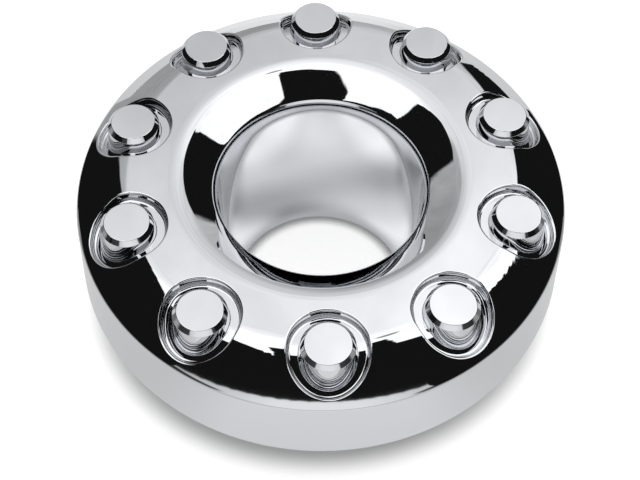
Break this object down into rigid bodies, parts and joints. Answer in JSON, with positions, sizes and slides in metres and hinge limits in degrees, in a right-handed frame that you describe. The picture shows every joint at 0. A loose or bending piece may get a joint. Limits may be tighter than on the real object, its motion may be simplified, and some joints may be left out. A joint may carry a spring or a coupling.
{
  "type": "wheel hub cover",
  "caption": "Chromed open-centre hub cover for a truck wheel, with capped round bosses in recesses over the wheel nuts, a sloping shoulder, a skirt and a deep centre tube.",
  "frame": {"origin": "on the wheel's axis, in the plane of the centre tube's foot, which the cover stands on", "axes": "+Z along the wheel's axis, out of the show face; one boss lies on +Y"},
  "size_m": [0.2848, 0.2848, 0.1295],
  "materials": {
    "chromed_plastic": "bright chrome plating on moulded plastic, mirror smooth"
  },
  "bodies": {
    "root": {"wheel_cover": "chromed_plastic"}
  },
  "joints": []
}
